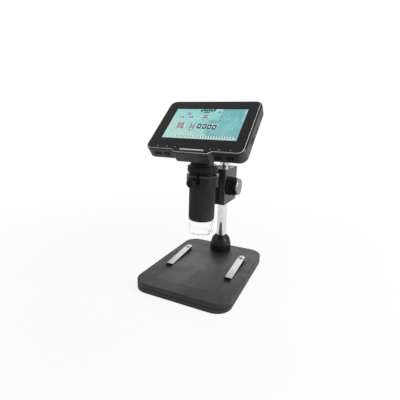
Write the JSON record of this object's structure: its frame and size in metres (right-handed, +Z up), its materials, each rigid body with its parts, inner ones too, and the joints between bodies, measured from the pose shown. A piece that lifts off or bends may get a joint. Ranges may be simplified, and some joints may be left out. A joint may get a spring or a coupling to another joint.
{
  "type": "digital microscope",
  "caption": "Digital microscope: a tilted screen on a barrel held by a ring, a rack-and-pinion block that slides and turns on a chrome column, and a flat base with two spring clips.",
  "frame": {"origin": "centre of the base's outline, on the surface that it stands on", "axes": "+Z up along the column, -Y towards the user who looks at the screen, +X to the right of the user"},
  "size_m": [0.126, 0.168, 0.2324],
  "materials": {
    "base_black": "fine matte texture",
    "steel": "brushed",
    "chrome": "polished",
    "rubber": "matte",
    "gloss_black": "gloss",
    "satin_black": "satin",
    "stage_grey": "matte",
    "block_grey": "satin",
    "anodised_black": "black anodised",
    "brass": "turned",
    "acetal": "natural",
    "knob_silver": "turned",
    "clear": "clear",
    "lens_glass": "coated",
    "board": "solder mask",
    "led_white": "clear dome",
    "cable_grey": "flat lead",
    "sensor": "sensor under glass",
    "screen_glass": "gloss",
    "display": "lit picture",
    "battery_grey": "foil pouch",
    "trim_silver": "polished",
    "zinc": "zinc plated"
  },
  "bodies": {
    "base": {"base_cover": "base_black", "base_tray": "base_black", "base_weight": "steel", "stage_plate": "stage_grey", "base_feet": "rubber", "base_screws": "zinc", "pole_boot": "gloss_black", "pole": "chrome", "pole_bolt": "zinc", "pole_cap": "gloss_black", "clip_spacers": "satin_black", "clip_screws": "chrome"},
    "clip_left_strip": {"clip_left": "steel"},
    "clip_right_strip": {"clip_right": "steel"},
    "column_sleeve": {"pole_sleeve": "acetal"},
    "focus_block": {"block_housing": "block_grey", "gib_screws": "zinc"},
    "focus_knobs": {"pinion_shaft": "steel", "focus_knob_right": "satin_black", "focus_knob_left": "satin_black", "knob_caps": "knob_silver"},
    "column_lock_pad": {"lock_pad": "acetal"},
    "column_lock_screw": {"lock_screw": "satin_black"},
    "carriage": {"slide_rail": "anodised_black", "rack": "brass", "holder_arm": "satin_black", "arm_screws": "zinc"},
    "ring_lock_pad": {"ring_pad": "acetal"},
    "ring_lock_screw": {"ring_screw": "satin_black"},
    "liner": {"ring_liner": "gloss_black"},
    "head": {"barrel_shell": "satin_black", "led_board": "board", "leds": "led_white", "led_cable": "cable_grey", "neck": "satin_black", "sensor_board": "board", "image_sensor": "sensor", "sensor_cable": "cable_grey", "front_bezel": "gloss_black", "screen_window": "screen_glass", "lcd_panel": "display", "main_board": "board", "battery": "battery_grey", "rear_shell": "satin_black", "case_screws": "zinc", "neck_screws": "zinc", "trim_bar": "trim_silver", "usb_socket": "steel", "card_socket": "steel", "button_switches": "satin_black"},
    "nose": {"nose_cover": "clear"},
    "wheel": {"focus_wheel": "satin_black"},
    "lens_unit": {"lens_carriage": "anodised_black", "lens_cell": "anodised_black", "lenses": "lens_glass", "focus_pin": "steel"},
    "power_key": {"power_button": "satin_black"},
    "menu_key": {"menu_button": "satin_black"},
    "down_key": {"down_button": "satin_black"},
    "up_key": {"up_button": "satin_black"}
  },
  "joints": [
    {"name": "clip_left_turn", "type": "hinge", "parent": "base", "child": "clip_left_strip", "pos_m": [-0.0431, 0.036, 0.0177], "axis": [0, 0, 1], "range_deg": [-60, 33]},
    {"name": "clip_right_turn", "type": "hinge", "parent": "base", "child": "clip_right_strip", "pos_m": [0.0431, 0.036, 0.0177], "axis": [0, 0, 1], "range_deg": [-33, 60]},
    {"name": "column_height", "type": "slide", "parent": "base", "child": "column_sleeve", "axis": [0, 0, 1], "range_m": [-0.03, 0.04]},
    {"name": "column_swivel", "type": "hinge", "parent": "column_sleeve", "child": "focus_block", "pos_m": [0, 0.0624, 0.1192], "axis": [0, 0, 1], "range_deg": [-180, 180]},
    {"name": "focus_slide", "type": "slide", "parent": "focus_block", "child": "carriage", "axis": [0, 0, 1], "range_m": [-0.012, 0.012]},
    {"name": "focus_knob_turn", "type": "hinge", "parent": "focus_block", "child": "focus_knobs", "pos_m": [0, 0.042, 0.1205], "axis": [1, 0, 0], "range_deg": [-175, 175]},
    {"name": "column_lock_slide", "type": "slide", "parent": "focus_block", "child": "column_lock_pad", "axis": [-1, 0, 0], "range_m": [0, 0.0015]},
    {"name": "column_lock_turn", "type": "hinge", "parent": "column_lock_pad", "child": "column_lock_screw", "pos_m": [-0.014, 0.0624, 0.1022], "axis": [1, 0, 0], "range_deg": [-680, 0]},
    {"name": "ring_lock_slide", "type": "slide", "parent": "carriage", "child": "ring_lock_pad", "axis": [0, -1, 0], "range_m": [0, 0.0015]},
    {"name": "ring_lock_turn", "type": "hinge", "parent": "ring_lock_pad", "child": "ring_lock_screw", "pos_m": [0, -0.0398, 0.137], "axis": [0, 1, 0], "range_deg": [-780, 0]},
    {"name": "head_lift", "type": "slide", "parent": "carriage", "child": "liner", "axis": [0, 0, 1], "range_m": [0, 0.078]},
    {"name": "head_turn", "type": "hinge", "parent": "liner", "child": "head", "pos_m": [0, -0.0166, 0.1412], "axis": [0, 0, 1], "range_deg": [-180, 180]},
    {"name": "nose_pull", "type": "slide", "parent": "head", "child": "nose", "axis": [0, 0, -1], "range_m": [0, 0.0086]},
    {"name": "focus_wheel_turn", "type": "hinge", "parent": "head", "child": "wheel", "pos_m": [0, -0.0166, 0.1505], "axis": [0, 0, 1], "range_deg": [-108, 108]},
    {"name": "lens_slide", "type": "slide", "parent": "head", "child": "lens_unit", "axis": [0, 0, 1], "range_m": [-0.0024, 0.0024]},
    {"name": "power_press", "type": "slide", "parent": "head", "child": "power_key", "axis": [0, 0.7508, 0.6605], "range_m": [0, 0.0005], "stiffness_N_per_m": 3500},
    {"name": "menu_press", "type": "slide", "parent": "head", "child": "menu_key", "axis": [0, 0.7508, 0.6605], "range_m": [0, 0.0005], "stiffness_N_per_m": 3500},
    {"name": "down_press", "type": "slide", "parent": "head", "child": "down_key", "axis": [0, 0.7508, 0.6605], "range_m": [0, 0.0005], "stiffness_N_per_m": 3500},
    {"name": "up_press", "type": "slide", "parent": "head", "child": "up_key", "axis": [0, 0.7508, 0.6605], "range_m": [0, 0.0005], "stiffness_N_per_m": 3500}
  ],
  "couplings": [
    {"joint": "focus_knob_turn", "follows": "focus_slide", "rad_per_m": -250},
    {"joint": "column_lock_turn", "follows": "column_lock_slide", "rad_per_m": -7854},
    {"joint": "ring_lock_turn", "follows": "ring_lock_slide", "rad_per_m": -8976},
    {"joint": "focus_wheel_turn", "follows": "lens_slide", "rad_per_m": -785.4}
  ]
}
